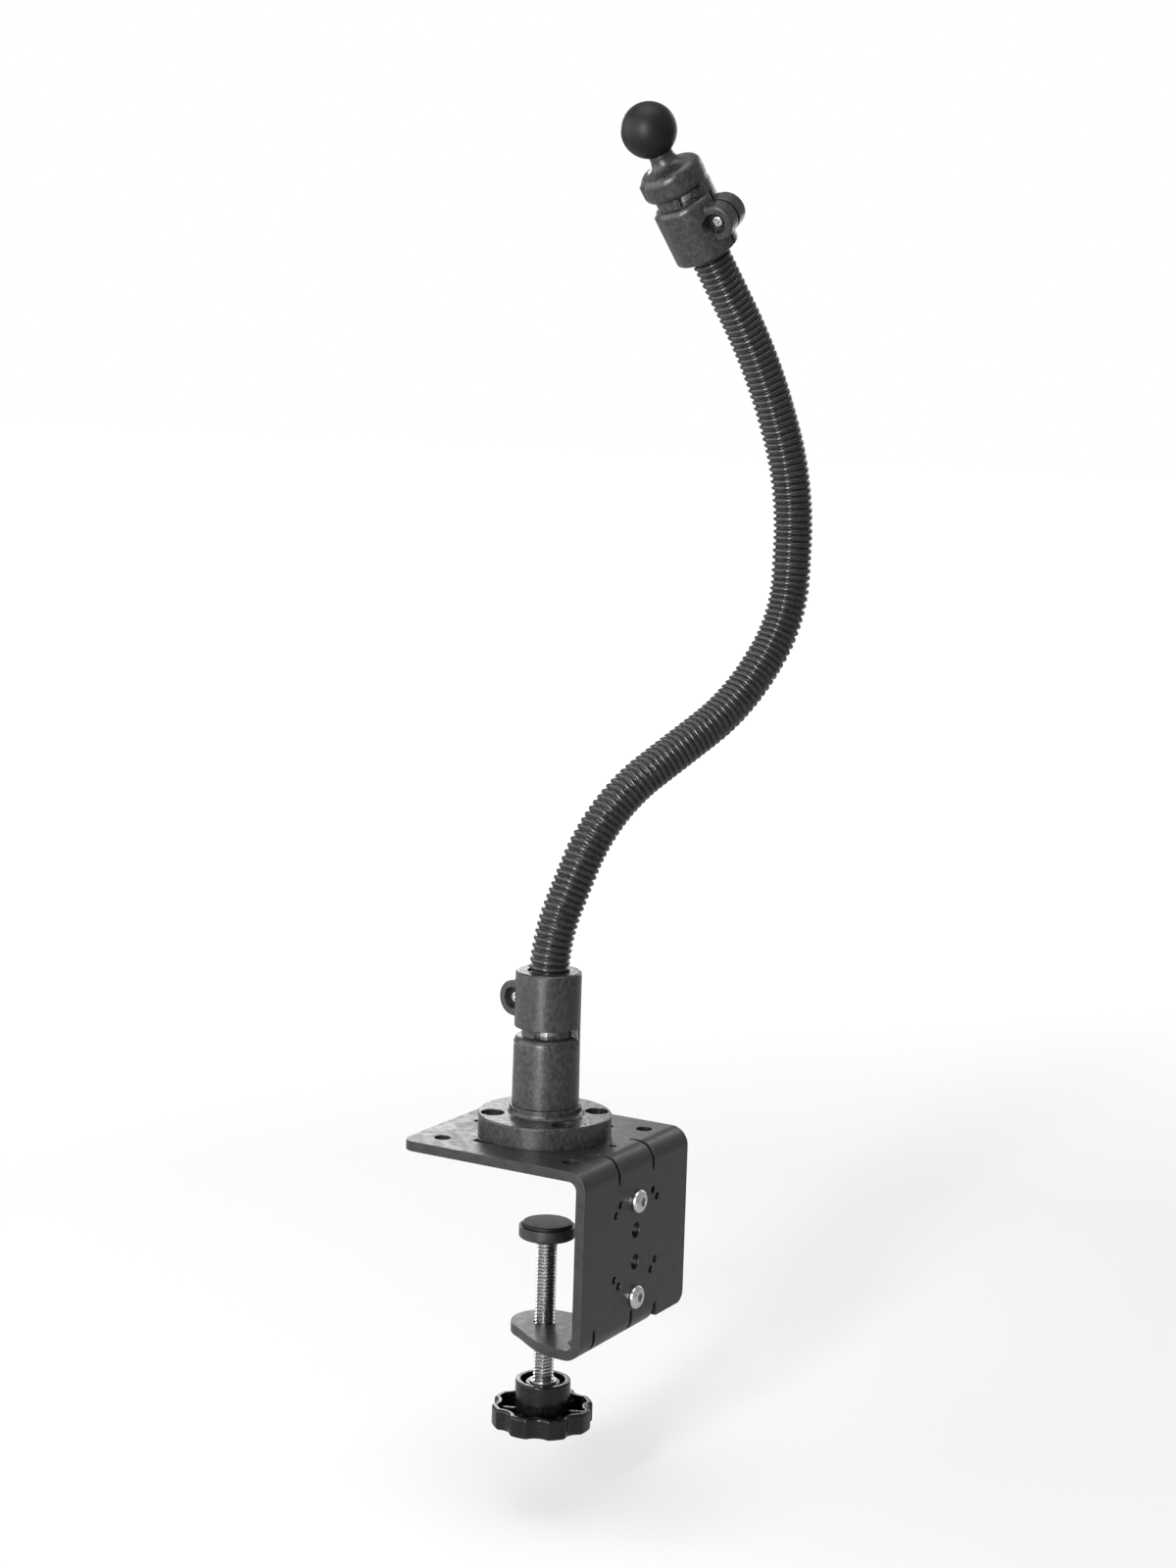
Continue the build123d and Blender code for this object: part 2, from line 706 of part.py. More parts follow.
def clamp_knob():
    """Lobed knob, hollow between hub and rim, with a rib from the hub to each scallop."""
    rim = extrude(lobed_outline(0, lobe_round), rim_height)
    rim = chamfer(rim.edges().group_by(Axis.Z)[0] + rim.edges().group_by(Axis.Z)[-1], knob_edge)
    knob = rim - Pos(0, 0, knob_floor) * extrude(lobed_outline(rim_wall, pocket_round), rim_height)
    reach = knob_diameter / 2 - lobe_depth - rim_wall / 2
    rib = Box(reach, knob_rib_wall, rim_height - knob_rib_drop, align=(Align.MIN, Align.CENTER, Align.MIN))
    for loc in PolarLocations(0, knob_lobes):
        knob += loc * rib
    knob = knob - disc(hub_diameter, hub_height) + knob_hub()
    return screw_axis * Pos(0, 0, knob_bottom) * Rot(0, 0, knob_turn) * knob


def knob_bush():
    """Metal bush in the knob's hub, with a flange on the recess's floor."""
    seat = hub_top - hub_recess_depth
    bush = disc(bush_flange_diameter, bush_flange, seat) + disc(bush_diameter, bush_length, seat - bush_length)
    return screw_axis * (bush - disc(rod_diameter + 2 * running_fit, 2 * hub_height, seat - hub_height))


def all_pieces():
    """Every piece of the mount under its node's name."""
    lower, upper = Pos(0, 0, lower_rim), upper_place()
    lower_end = SocketEnd(lower_socket_length, lower_ear, lower_window, lower_groove, lower_embed, False)
    upper_end = SocketEnd(upper_socket_length, upper_ear, upper_window, upper_groove, upper_embed, True)
    upper_drop, lower_drop = web_screw_drops()
    pieces = {
        "clamp_bracket": clamp_bracket(),
        "web_screw_upper": web_screw(upper_drop),
        "web_screw_lower": web_screw(lower_drop),
        "round_base": round_base(),
        "post_screw": post_screw(),
        "lower_socket": lower * split_socket(post(lower_end), lower_end),
        "lower_socket_screw": lower * socket_screw(lower_end),
        "lower_socket_nut": lower * socket_nut(lower_end),
        "lower_coupler": lower * coupler(lower_end),
        "gooseneck_core": round_bar(arm_path(), core_diameter),
        "gooseneck_sleeve": gooseneck_sleeve(),
        "upper_coupler": upper * coupler(upper_end),
        "upper_socket": upper * split_socket(head(upper_end), upper_end),
        "upper_socket_screw": upper * socket_screw(upper_end),
        "upper_socket_nut": upper * socket_nut(upper_end),
        "mounting_ball": mounting_ball(upper_end),
        "clamp_rod": clamp_rod(),
        "clamp_knob": clamp_knob(),
        "knob_bush": knob_bush(),
        "pad_cup": pad_cup(),
        "pad_face": pad_face(),
        "pad_ring": pad_ring(),
    }
    for number, (x, y) in enumerate(base_screw_places(), start=1):
        pieces[f"base_screw_{number}"] = base_screw(x, y)
    return pieces


os.makedirs("parts", exist_ok=True)
for name, piece in all_pieces().items():
    export_step(piece, f"parts/{name}.step")
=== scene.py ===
"""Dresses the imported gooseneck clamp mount: bracket, base, split sockets, corrugated arm, ball, screw and knob."""

import json
import logging
import math
from dataclasses import dataclass
from enum import Enum

import bmesh
import bpy
from mathutils import Matrix, Vector

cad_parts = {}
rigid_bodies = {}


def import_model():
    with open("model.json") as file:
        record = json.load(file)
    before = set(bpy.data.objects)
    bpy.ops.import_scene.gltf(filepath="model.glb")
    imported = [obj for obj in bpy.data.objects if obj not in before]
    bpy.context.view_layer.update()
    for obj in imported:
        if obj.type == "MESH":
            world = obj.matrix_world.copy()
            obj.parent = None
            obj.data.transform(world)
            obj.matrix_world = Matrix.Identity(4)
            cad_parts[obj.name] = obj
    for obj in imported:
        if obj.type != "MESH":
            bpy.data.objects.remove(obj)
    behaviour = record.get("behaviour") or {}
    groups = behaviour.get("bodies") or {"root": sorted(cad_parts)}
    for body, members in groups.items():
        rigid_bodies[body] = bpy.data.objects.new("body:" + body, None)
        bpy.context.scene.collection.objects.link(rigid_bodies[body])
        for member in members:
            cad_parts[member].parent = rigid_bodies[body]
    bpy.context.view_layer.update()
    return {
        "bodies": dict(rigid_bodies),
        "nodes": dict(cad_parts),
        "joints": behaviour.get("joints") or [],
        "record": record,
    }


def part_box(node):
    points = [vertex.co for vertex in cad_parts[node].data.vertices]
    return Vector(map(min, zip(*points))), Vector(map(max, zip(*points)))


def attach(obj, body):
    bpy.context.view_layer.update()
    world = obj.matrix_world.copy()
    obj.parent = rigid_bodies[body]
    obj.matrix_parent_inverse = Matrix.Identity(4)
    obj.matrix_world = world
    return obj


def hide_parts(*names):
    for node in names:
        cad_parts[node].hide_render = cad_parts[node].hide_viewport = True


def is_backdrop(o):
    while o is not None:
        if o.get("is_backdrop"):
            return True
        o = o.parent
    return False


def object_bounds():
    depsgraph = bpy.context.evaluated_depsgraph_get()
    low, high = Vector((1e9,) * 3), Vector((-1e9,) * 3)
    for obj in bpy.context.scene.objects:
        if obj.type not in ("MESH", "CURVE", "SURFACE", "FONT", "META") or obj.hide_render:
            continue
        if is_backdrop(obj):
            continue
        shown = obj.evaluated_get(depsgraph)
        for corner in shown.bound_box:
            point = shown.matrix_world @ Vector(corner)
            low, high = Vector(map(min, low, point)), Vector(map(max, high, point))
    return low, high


LOG = logging.getLogger("clamp_mount")
MM = 0.001
PHOTO_HEIGHT = 1600

# Meshes: the distances at which points of a CAD copy and of a turned shape become one, and, in degrees, the turn up
# to which faces are joined and the turn beyond which edges are rounded
MERGE_DISTANCE = 0.01 * MM
SEAM_DISTANCE = 0.001 * MM
FLAT_ANGLE = 0.1
SHARP_ANGLE = 28.0
ROUNDING_STEPS = 2

# Strength of the white world as a light, and of the white world and the floor's glow in mirrored rays
WORLD_FILL = 0.08
WORLD_MIRRORED = 0.46
FLOOR_MIRRORED = 0.12

# Mould mottle: scale of its specks, their share of its mask, and the scaling that draws its clouds out along Z
SPECK_SCALE = 2600.0
SPECK_MASK_SHARE = 0.22
CLOUD_STRETCH = (1.0, 1.0, 0.7)


class Body(Enum):
    """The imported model's rigid bodies."""

    MOUNT = "mount"
    PAD = "pad"
    SCREW = "screw"


class ArmEnd(Enum):
    """The arm's two ends, as their nodes are named."""

    LOWER = "lower"
    UPPER = "upper"


# Shader helpers


class NodeBuilder:
    """Adds and joins the nodes of one material or node group."""

    def __init__(self, tree: bpy.types.NodeTree) -> None:
        """Keeps the tree that the nodes go into.

        Args:
            tree: The node tree of a material or a group.
        """
        self.tree = tree

    def add(self, kind: str, values: dict | None = None, **settings: object) -> bpy.types.Node:
        """Adds one node.

        Args:
            kind: The node's type name.
            values: Input values by socket name or number.
            settings: Properties of the node itself.

        Returns:
            The new node.
        """
        node = self.tree.nodes.new(kind)
        for name, value in settings.items():
            setattr(node, name, value)
        for socket, value in (values or {}).items():
            node.inputs[socket].default_value = value
        return node

    def join(self, source: bpy.types.NodeSocket, target: bpy.types.NodeSocket) -> None:
        """Links an output to an input."""
        self.tree.links.new(source, target)

    def noise(self, vector: bpy.types.NodeSocket, scale: float) -> bpy.types.Node:
        """Adds a noise texture.

        Args:
            vector: The coordinates that it reads.
            scale: Cells to the metre.

        Returns:
            The noise node.
        """
        node = self.add("ShaderNodeTexNoise", {"Scale": scale, "Detail": 2.0, "Roughness": 0.55})
        self.join(vector, node.inputs["Vector"])
        return node

    def remap(self, value: bpy.types.NodeSocket, low: float, high: float, to_low: float,
              to_high: float) -> bpy.types.NodeSocket:
        """Maps a value's range to another one, held at its ends.

        Args:
            value: The value to map.
            low: Start of the range that is read.
            high: End of the range that is read.
            to_low: Result at the start.
            to_high: Result at the end.

        Returns:
            The mapped value.
        """
        numbers = {"From Min": low, "From Max": high, "To Min": to_low, "To Max": to_high}
        node = self.add("ShaderNodeMapRange", numbers)
        self.join(value, node.inputs["Value"])
        return node.outputs["Result"]

    def sum(self, first: bpy.types.NodeSocket, second: bpy.types.NodeSocket, weight: float) -> bpy.types.NodeSocket:
        """Adds the second value, times a weight, to the first.

        Args:
            first: The value that is taken whole.
            second: The value that is weighted.
            weight: Its weight.

        Returns:
            The sum.
        """
        node = self.add("ShaderNodeMath", {1: weight}, operation="MULTIPLY_ADD")
        self.join(second, node.inputs[0])
        self.join(first, node.inputs[2])
        return node.outputs[0]

    def blend(self, mask: bpy.types.NodeSocket, dark: tuple, light: tuple) -> bpy.types.NodeSocket:
        """Blends two colours by a mask.

        Args:
            mask: 0 for the dark colour and 1 for the light one.
            dark: Red, green and blue.
            light: Red, green and blue.

        Returns:
            The blended colour.
        """
        node = self.add("ShaderNodeMix", {6: (*dark, 1.0), 7: (*light, 1.0)}, data_type="RGBA")
        self.join(mask, node.inputs["Factor"])
        return node.outputs[2]

    def larger(self, first: bpy.types.NodeSocket, second: bpy.types.NodeSocket) -> bpy.types.NodeSocket:
        """Takes the larger of two values.

        Args:
            first: One value.
            second: The other value.

        Returns:
            The larger one.
        """
        node = self.add("ShaderNodeMath", operation="MAXIMUM")
        self.join(first, node.inputs[0])
        self.join(second, node.inputs[1])
        return node.outputs[0]

    def backdrop_strength(self, mirrored: float, elsewhere: float) -> bpy.types.NodeSocket:
        """Strength of a white backdrop, by the kind of ray that meets it.

        Args:
            mirrored: Strength for rays that the object mirrors.
            elsewhere: Strength for rays that light the object.

        Returns:
            1 for rays from the camera or through glass, and the two strengths for the others.
        """
        path = self.add("ShaderNodeLightPath")
        straight = self.larger(path.outputs["Is Camera Ray"], path.outputs["Is Transmission Ray"])
        return self.larger(straight, self.remap(path.outputs["Is Glossy Ray"], 0.0, 1.0, elsewhere, mirrored))


class Effect(Enum):
    """Shared surface effects, each built once as a node group."""

    GRAIN = "surface_grain"
    MOTTLE = "mould_mottle"
    SCUFF = "handling_scuffs"


def effect_group(effect: Effect) -> bpy.types.NodeTree:
    """Returns the node group of a shared effect, built at its first use.

    Args:
        effect: Which effect is wanted.

    Returns:
        Its node group.
    """
    found = bpy.data.node_groups.get(effect.value)
    if found:
        return found
    tree = bpy.data.node_groups.new(effect.value, "ShaderNodeTree")
    face = tree.interface
    face.new_socket("Vector", in_out="INPUT", socket_type="NodeSocketVector")
    face.new_socket("Scale", in_out="INPUT", socket_type="NodeSocketFloat")
    face.new_socket("Mask", in_out="OUTPUT", socket_type="NodeSocketFloat")
    if effect is Effect.GRAIN:
        face.new_socket("Height", in_out="OUTPUT", socket_type="NodeSocketFloat")
    build = NodeBuilder(tree)
    source, result = build.add("NodeGroupInput"), build.add("NodeGroupOutput")
    EFFECT_MAKERS[effect](build, source, result)
    return tree


def fill_grain(build: NodeBuilder, source: bpy.types.Node, result: bpy.types.Node) -> None:
    """Fine even grain: a mask for roughness and a height for bump.

    Args:
        build: Adds the group's nodes.
        source: The group's input node.
        result: The group's output node.
    """
    noise = build.add("ShaderNodeTexNoise", {"Detail": 2.0, "Roughness": 0.5})
    build.join(source.outputs["Vector"], noise.inputs["Vector"])
    build.join(source.outputs["Scale"], noise.inputs["Scale"])
    build.join(build.remap(noise.outputs["Fac"], 0.35, 0.65, 0.0, 1.0), result.inputs["Mask"])
    build.join(noise.outputs["Fac"], result.inputs["Height"])


def fill_mottle(build: NodeBuilder, source: bpy.types.Node, result: bpy.types.Node) -> None:
    """Cloudy flow marks of filled plastic, drawn out along one direction, as a mask.

    Args:
        build: Adds the group's nodes.
        source: The group's input node.
        result: The group's output node.
    """
    stretch = build.add("ShaderNodeVectorMath", {1: CLOUD_STRETCH}, operation="MULTIPLY")
    build.join(source.outputs["Vector"], stretch.inputs[0])
    broad = build.add("ShaderNodeTexNoise", {"Detail": 4.0, "Roughness": 0.62, "Distortion": 0.6})
    build.join(stretch.outputs[0], broad.inputs["Vector"])
    build.join(source.outputs["Scale"], broad.inputs["Scale"])
    specks = build.noise(source.outputs["Vector"], SPECK_SCALE)
    fine = build.remap(specks.outputs["Fac"], 0.42, 0.7, 0.0, 1.0)
    cloudy = build.remap(broad.outputs["Fac"], 0.44, 0.82, 0.0, 1.0)
    build.join(build.sum(cloudy, fine, SPECK_MASK_SHARE), result.inputs["Mask"])


def fill_scuffs(build: NodeBuilder, source: bpy.types.Node, result: bpy.types.Node) -> None:
    """Sparse soft rub marks and dust, as a mask.

    Args:
        build: Adds the group's nodes.
        source: The group's input node.
        result: The group's output node.
    """
    cloud = build.add("ShaderNodeTexNoise", {"Detail": 5.0, "Roughness": 0.7, "Distortion": 1.2})
    build.join(source.outputs["Vector"], cloud.inputs["Vector"])
    build.join(source.outputs["Scale"], cloud.inputs["Scale"])
    build.join(build.remap(cloud.outputs["Fac"], 0.52, 0.74, 0.0, 1.0), result.inputs["Mask"])


EFFECT_MAKERS = {Effect.GRAIN: fill_grain, Effect.MOTTLE: fill_mottle, Effect.SCUFF: fill_scuffs}


@dataclass(frozen=True)
class Finish:
    """One surface finish: two blended colours, a roughness range, and the effects that vary them."""

    name: str
    dark: tuple
    light: tuple
    rough_low: float
    rough_high: float
    metallic: float = 0.0
    specular: float = 0.5
    effect: Effect = Effect.GRAIN
    effect_scale: float = 2000.0
    grain_scale: float = 2400.0
    grain_height: float = 0.02
    scuff_scale: float = 85.0
    scuff_roughness: float = 0.08

    def material(self) -> bpy.types.Material:
        """Builds the material, or returns it where it is built already.

        Returns:
            The finished material.
        """
        found = bpy.data.materials.get(self.name)
        if found:
            return found
        made = bpy.data.materials.new(self.name)
        made.use_nodes = True
        build = NodeBuilder(made.node_tree)
        shader = made.node_tree.nodes["Principled BSDF"]
        shader.inputs["Metallic"].default_value = self.metallic
        shader.inputs["Specular IOR Level"].default_value = self.specular
        where = build.add("ShaderNodeTexCoord").outputs["Object"]
        main = self.group(build, where, self.effect, self.effect_scale)
        grain = self.group(build, where, Effect.GRAIN, self.grain_scale)
        scuff = self.group(build, where, Effect.SCUFF, self.scuff_scale)
        build.join(build.blend(main.outputs["Mask"], self.dark, self.light), shader.inputs["Base Color"])
        rough = build.remap(main.outputs["Mask"], 0.0, 1.0, self.rough_low, self.rough_high)
        rough = build.sum(rough, scuff.outputs["Mask"], self.scuff_roughness)
        build.join(rough, shader.inputs["Roughness"])
        bump = build.add("ShaderNodeBump", {"Strength": 1.0, "Distance": self.grain_height * MM})
        build.join(grain.outputs["Height"], bump.inputs["Height"])
        build.join(bump.outputs["Normal"], shader.inputs["Normal"])
        return made

    @staticmethod
    def group(build: NodeBuilder, where: bpy.types.NodeSocket, effect: Effect, scale: float) -> bpy.types.Node:
        """Places a shared effect in the material at a scale.

        Args:
            build: Adds the material's nodes.
            where: The coordinates that it reads.
            effect: Which effect it is.
            scale: Its scale.

        Returns:
            The group node.
        """
        node = build.add("ShaderNodeGroup", node_tree=effect_group(effect))
        build.join(where, node.inputs["Vector"])
        node.inputs["Scale"].default_value = scale
        return node


# Finishes, and the record's material slots that they belong to

POWDER_COAT = Finish("satin_black_powder_coat", (0.011, 0.011, 0.012), (0.017, 0.017, 0.018), 0.33, 0.43,
                     grain_scale=1500.0, grain_height=0.02, effect_scale=300.0)
FILLED_NYLON = Finish("charcoal_filled_nylon", (0.014, 0.014, 0.0145), (0.055, 0.055, 0.056), 0.25, 0.42,
                      effect=Effect.MOTTLE, effect_scale=520.0, grain_scale=1900.0, grain_height=0.1)
SLEEVE_PLASTIC = Finish("satin_black_sleeve", (0.01, 0.01, 0.011), (0.018, 0.018, 0.019), 0.2, 0.3,
                        effect_scale=400.0, grain_scale=3000.0, grain_height=0.008)
BRIGHT_ZINC = Finish("bright_zinc", (0.5, 0.5, 0.49), (0.66, 0.66, 0.65), 0.14, 0.24, metallic=1.0,
                     effect_scale=900.0, grain_scale=5000.0, grain_height=0.004)
# The coupler bar's steel colour is set brighter than the other plated steel: painted light that stands in for the
# light which the socket's narrow window keeps off the bar.
COUPLER_STEEL_PAINTED_BRIGHT = Finish("satin_bar_painted_bright", (0.82, 0.82, 0.81), (0.92, 0.92, 0.91), 0.38, 0.46, metallic=1.0,
                       effect_scale=900.0, grain_scale=5000.0, grain_height=0.004)
ROD_STEEL = Finish("zinc_thread", (0.34, 0.34, 0.335), (0.46, 0.46, 0.455), 0.18, 0.3, metallic=1.0,
                   effect_scale=900.0, grain_scale=5000.0, grain_height=0.004)
CORE_STEEL = Finish("plain_core_steel", (0.3, 0.3, 0.3), (0.45, 0.45, 0.44), 0.3, 0.45, metallic=1.0)
KNOB_PLASTIC = Finish("moulded_black_knob", (0.003, 0.003, 0.0032), (0.006, 0.006, 0.0064), 0.2, 0.3,
                      specular=0.32, effect_scale=500.0, grain_scale=2600.0, grain_height=0.012)
BALL_RUBBER = Finish("black_ball_rubber", (0.004, 0.004, 0.0042), (0.007, 0.007, 0.0073), 0.4, 0.5,
                     specular=0.24, effect_scale=1200.0, grain_scale=3600.0, grain_height=0.02)
FINISHES = {
    "bracket_coat": POWDER_COAT,
    "filled_nylon": FILLED_NYLON,
    "sleeve_plastic": SLEEVE_PLASTIC,
    "bright_steel": BRIGHT_ZINC,
    "core_steel": CORE_STEEL,
    "knob_plastic": KNOB_PLASTIC,
    "ball_rubber": BALL_RUBBER,
}


# Mesh helpers


def shells(bm: bmesh.types.BMesh) -> list:
    """Sorts a shape's vertices into its connected shells.

    Args:
        bm: The shape.

    Returns:
        One set of vertices for each shell, the largest first.
    """
    left, found = set(bm.verts), []
    while left:
        shell, front = set(), [left.pop()]
        while front:
            vert = front.pop()
            shell.add(vert)
            near = {edge.other_vert(vert) for edge in vert.link_edges} & left
            left -= near
            front.extend(near)
        found.append(shell)
    return sorted(found, key=len, reverse=True)


def add_shape(bm: bmesh.types.BMesh, other: bmesh.types.BMesh) -> None:
    """Adds a second shape to the first.

    Args:
        bm: The shape that grows.
        other: The shape to add. It is freed here.
    """
    carrier = bpy.data.meshes.new("carrier")
    other.to_mesh(carrier)
    other.free()
    bm.from_mesh(carrier)
    bpy.data.meshes.remove(carrier)


def softened_copy(frame: dict, node: str, rounding: float, sharp: float) -> bmesh.types.BMesh:
    """Copies a CAD node's outer shell, joins its flat faces and rounds its sharp edges.

    Args:
        node: The node's name.
        rounding: Width of the rounding, in millimetres.
        sharp: Edges that turn by more than this, in degrees, are rounded.

    Returns:
        The rounded shape, in metres, in place.
    """
    bm = bmesh.new()
    bm.from_mesh(frame["nodes"][node].data)
    bmesh.ops.remove_doubles(bm, verts=bm.verts, dist=MERGE_DISTANCE)
    inner = [vert for shell in shells(bm)[1:] for vert in shell]
    bmesh.ops.delete(bm, geom=inner, context="VERTS")
    bmesh.ops.dissolve_limit(bm, angle_limit=math.radians(FLAT_ANGLE), verts=bm.verts, edges=bm.edges)
    limit = math.radians(sharp)
    edges = [edge for edge in bm.edges if len(edge.link_faces) == 2 and edge.calc_face_angle(0.0) > limit]
    bmesh.ops.bevel(bm, geom=edges, offset=rounding * MM, offset_type="OFFSET", segments=ROUNDING_STEPS,
                    profile=0.5, affect="EDGES", clamp_overlap=False, material=-1)
    return bm


def turned_shape(profile: list, steps: int, rise: float = 0.0) -> bmesh.types.BMesh:
    """Spins an (r, z) line about Z.

    Args:
        profile: Points of the line, in metres.
        steps: Steps of the full turn.
        rise: Climb over the full turn, in metres, for a thread.

    Returns:
        The turned shape.
    """
    bm = bmesh.new()
    verts = [bm.verts.new((r, 0.0, z)) for r, z in profile]
    edges = [bm.edges.new(pair) for pair in zip(verts, verts[1:])]
    bmesh.ops.spin(bm, geom=verts + edges, cent=(0.0, 0.0, 0.0), axis=(0.0, 0.0, 1.0), angle=2.0 * math.pi,
                   dvec=(0.0, 0.0, rise / steps), steps=steps, use_merge=not rise, use_duplicate=False)
    bmesh.ops.remove_doubles(bm, verts=bm.verts, dist=SEAM_DISTANCE)
    bmesh.ops.recalc_face_normals(bm, faces=bm.faces)
    return bm


def new_piece(name: str, bm: bmesh.types.BMesh, finish: Finish, body: Body,
              nodes: tuple, smooth_angle: float = 38.0, weighted: bool = False) -> bpy.types.Object:
    """Turns a bmesh into a finished piece that rides on a body.

    Args:
        name: The piece's name.
        bm: The shape, in metres, in place. It is freed here.
        finish: The piece's finish.
        body: The body that it rides on.
        nodes: CAD nodes that it replaces.
        smooth_angle: Edges sharper than this, in degrees, stay sharp.
        weighted: Whether large flats keep their own normals beside their roundings.

    Returns:
        The new object.
    """
    mesh = bpy.data.meshes.new(name)
    for face in bm.faces:
        face.smooth = True
    limit = math.radians(smooth_angle)
    for edge in bm.edges:
        if len(edge.link_faces) == 2:
            edge.smooth = edge.calc_face_angle(0.0) < limit
    bm.to_mesh(mesh)
    bm.free()
    piece = bpy.data.objects.new(name, mesh)
    bpy.context.scene.collection.objects.link(piece)
    mesh.materials.append(finish.material())
    if weighted:
        normals = piece.modifiers.new("flat_normals", "WEIGHTED_NORMAL")
        normals.keep_sharp = True
    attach(piece, body.value)
    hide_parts(*nodes)
    LOG.info("%s: %d faces", name, len(mesh.polygons))
    return piece


@dataclass(frozen=True)
class Workshop:
    """The loaded frame and each node's material slot, for rounding and dressing the nodes."""

    frame: dict
    slots: dict

    def dress(self, *nodes: str) -> None:
        """Gives CAD nodes that stay as they are their finish.

        Args:
            nodes: The nodes' names.
        """
        for node in nodes:
            finish = FINISHES[self.slots[node]]
            piece = self.frame["nodes"][node]
            piece.data.materials.clear()
            piece.data.materials.append(finish.material())
            LOG.info("%s: carried over in %s", node, finish.name)

    def round_off(self, node: str, body: Body, rounding: float, sharp: float = SHARP_ANGLE,
                  finish: Finish | None = None) -> None:
        """Puts a copy with rounded edges in place of a CAD node.

        Args:
            node: The node's name.
            body: The body that it rides on.
            rounding: Width of the roundings, in millimetres.
            sharp: Edges that turn by more than this, in degrees, are rounded.
            finish: Its finish, where that isn't its slot's.
        """
        slot = self.slots[node]
        bm = softened_copy(self.frame, node, rounding, sharp)
        new_piece(f"{node}_rounded", bm, finish or FINISHES[slot], body, (node,), weighted=True)


# Bracket, base and sockets


@dataclass(frozen=True)
class ClampBracket:
    """Folded bracket with the two button-head screws in its web: roundings in millimetres."""

    sheet_rounding: float = 0.35
    screw_rounding: float = 0.12

    def build(self, shop: Workshop) -> None:
        """Rounds the sheet and its screws.

        Args:
            shop: The loaded frame and its slots.
        """
        shop.round_off("clamp_bracket", Body.MOUNT, self.sheet_rounding)
        shop.round_off("web_screw_upper", Body.MOUNT, self.screw_rounding)
        shop.round_off("web_screw_lower", Body.MOUNT, self.screw_rounding)


@dataclass(frozen=True)
class RoundBase:
    """Moulded base with its four screws and the post's screw: only its right-angled edges are rounded."""

    rounding: float = 0.25
    sharp: float = 80.0

    def build(self, shop: Workshop) -> None:
        """Rounds the base and dresses its screws.

        Args:
            shop: The loaded frame and its slots.
        """
        shop.round_off("round_base", Body.MOUNT, self.rounding, sharp=self.sharp)
        shop.dress("base_screw_1", "base_screw_2", "base_screw_3", "base_screw_4", "post_screw")


@dataclass(frozen=True)
class SplitSocket:
    """Split socket at one end of the arm, with its screw, nut and coupler: roundings in millimetres."""

    end: ArmEnd
    body_rounding: float = 0.3
    screw_rounding: float = 0.1
    coupler_rounding: float = 0.2

    def build(self, shop: Workshop) -> None:
        """Rounds the socket, its clamping screw and its coupler, and dresses the nut.

        Args:
            shop: The loaded frame and its slots.
        """
        end = self.end.value
        shop.round_off(f"{end}_socket", Body.MOUNT, self.body_rounding)
        shop.round_off(f"{end}_socket_screw", Body.MOUNT, self.screw_rounding)
        shop.round_off(f"{end}_coupler", Body.MOUNT, self.coupler_rounding, finish=COUPLER_STEEL_PAINTED_BRIGHT)
        shop.dress(f"{end}_socket_nut")


# Gooseneck


@dataclass(frozen=True)
class Gooseneck:
    """Bendable arm: its core, and its sleeve's CAD rings filled out to round ridges, in millimetres and degrees."""

    bulge: float = 0.52
    crest_lift: float = 0.2
    valley_crease: float = 0.85
    fold: float = 55.0
    flat: float = 8.0
    squareness: float = 70.0
    smooth_angle: float = 170.0

    def build(self, shop: Workshop) -> None:
        """Fills out the rings of a copy of the sleeve, in place, and dresses the core.

        Args:
            shop: The loaded frame and its slots.
        """
        shop.dress("gooseneck_core")
        bm = bmesh.new()
        bm.from_mesh(shop.frame["nodes"]["gooseneck_sleeve"].data)
        bmesh.ops.remove_doubles(bm, verts=bm.verts, dist=MERGE_DISTANCE)
        bmesh.ops.join_triangles(bm, faces=bm.faces, angle_face_threshold=math.radians(self.flat),
                                 angle_shape_threshold=math.radians(self.squareness))
        crease = bm.edges.layers.float.new("crease_edge")
        crests = {vert for edge in self.folds(bm, 1.0) for vert in edge.verts}
        valley_edges = self.folds(bm, -1.0)
        valleys = {vert for edge in valley_edges for vert in edge.verts} - crests
        for edge in valley_edges:
            edge[crease] = self.valley_crease
        slopes = [edge for edge in bm.edges
                  if (edge.verts[0] in crests and edge.verts[1] in valleys)
                  or (edge.verts[1] in crests and edge.verts[0] in valleys)]
        cut = bmesh.ops.subdivide_edges(bm, edges=slopes, cuts=1, use_grid_fill=True)
        middles = [item for item in cut["geom_inner"] if isinstance(item, bmesh.types.BMVert)]
        crests = {vert for edge in self.folds(bm, 1.0) for vert in edge.verts}
        bm.normal_update()
        moves = [(vert, vert.normal * self.bulge * MM) for vert in middles]
        moves += [(vert, vert.normal * self.crest_lift * MM) for vert in crests]
        for vert, move in moves:
            vert.co += move
        LOG.info("sleeve: %d slopes, %d faces", len(slopes), len(bm.faces))
        piece = new_piece("corrugated_sleeve", bm, SLEEVE_PLASTIC, Body.MOUNT,
                          ("gooseneck_sleeve",), smooth_angle=self.smooth_angle)
        finer = piece.modifiers.new("finer_rings", "SUBSURF")
        finer.levels = finer.render_levels = 1

    def folds(self, bm: bmesh.types.BMesh, side: float) -> list:
        """Finds either the crests or the valleys.

        Args:
            bm: The sleeve's mesh.
            side: 1 for edges that point outwards, -1 for edges that point inwards.

        Returns:
            The edges of that kind.
        """
        limit = math.radians(self.fold)
        return [edge for edge in bm.edges
                if len(edge.link_faces) == 2 and side * edge.calc_face_angle_signed(0.0) > limit]


# Ball, screw feed and pad


